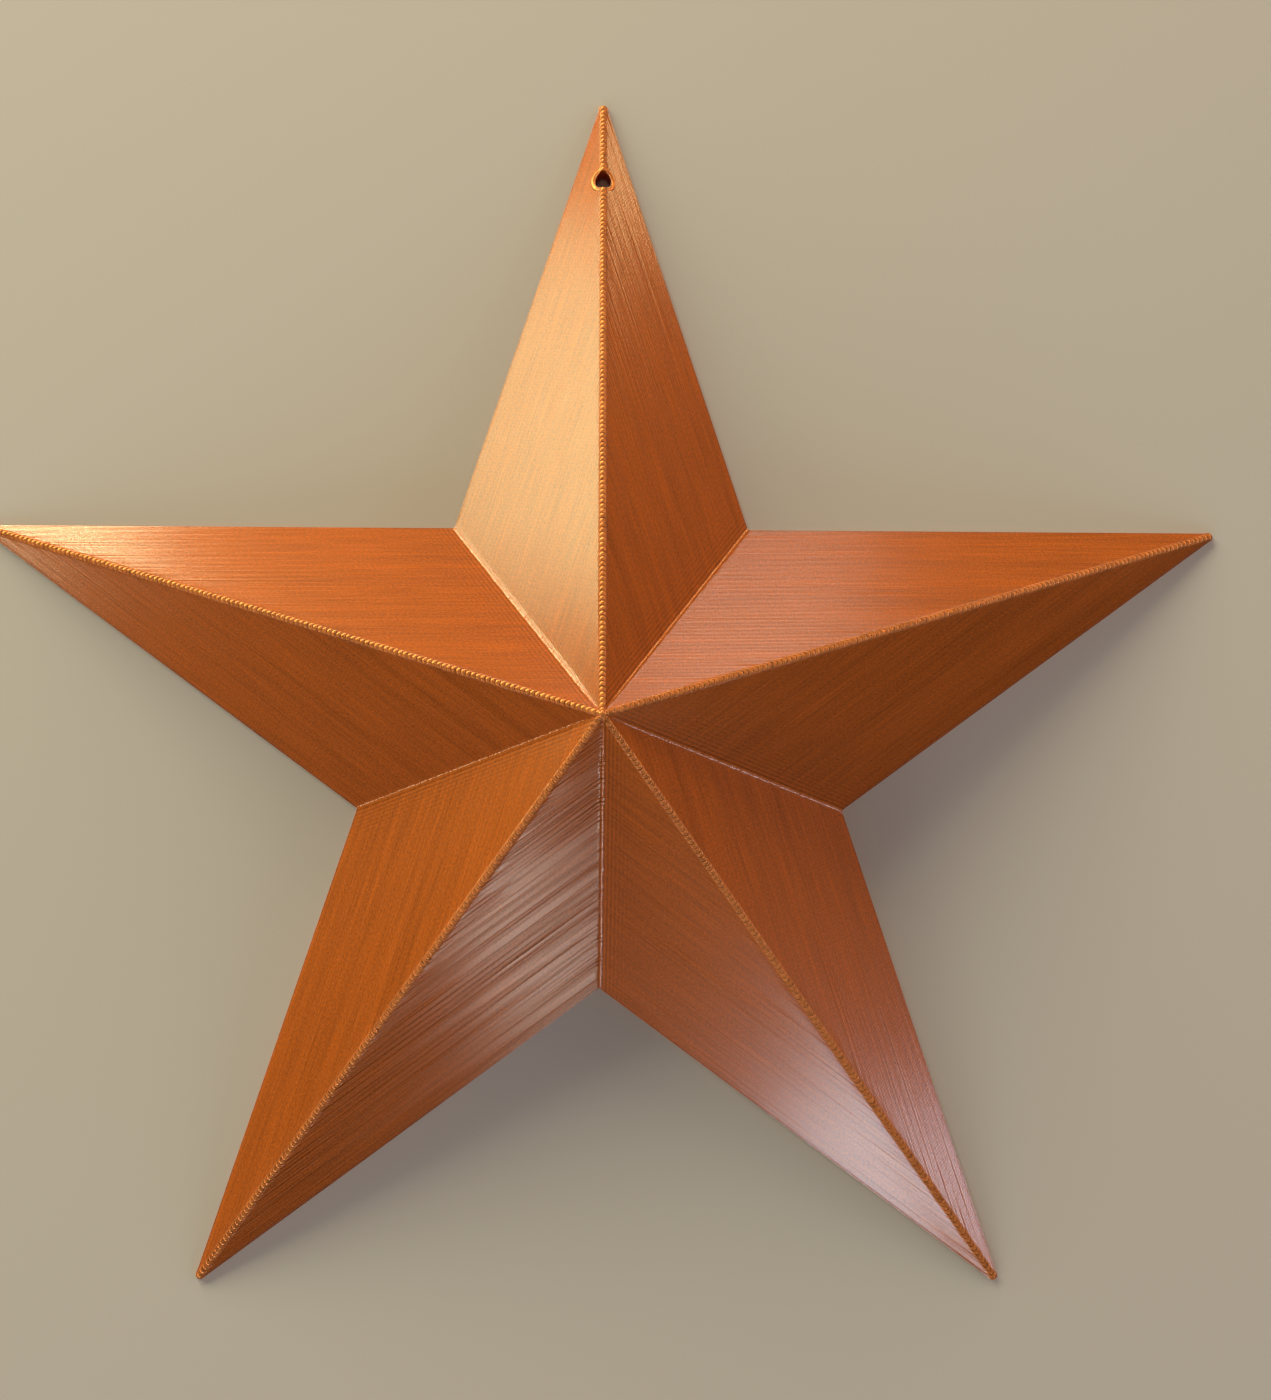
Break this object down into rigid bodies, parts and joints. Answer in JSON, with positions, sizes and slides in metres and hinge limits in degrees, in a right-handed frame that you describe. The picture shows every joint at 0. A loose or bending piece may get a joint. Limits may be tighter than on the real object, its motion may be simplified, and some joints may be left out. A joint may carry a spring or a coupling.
{
  "type": "faceted star ornament",
  "caption": "Printed plastic star ornament: straight ridges and flat facets rise to a central peak over a flat back, with a small hanging hole near one tip.",
  "frame": {"origin": "centre of the star on its flat back face, under the peak", "axes": "+Z out of the flat back through the peak, +Y towards the tip with the hanging hole, +X along the star's full width"},
  "size_m": [0.189, 0.1797, 0.0275],
  "materials": {
    "copper_filament": "silky copper-coloured printed plastic with fine layer lines"
  },
  "bodies": {
    "root": {"printed_star": "copper_filament"}
  },
  "joints": []
}
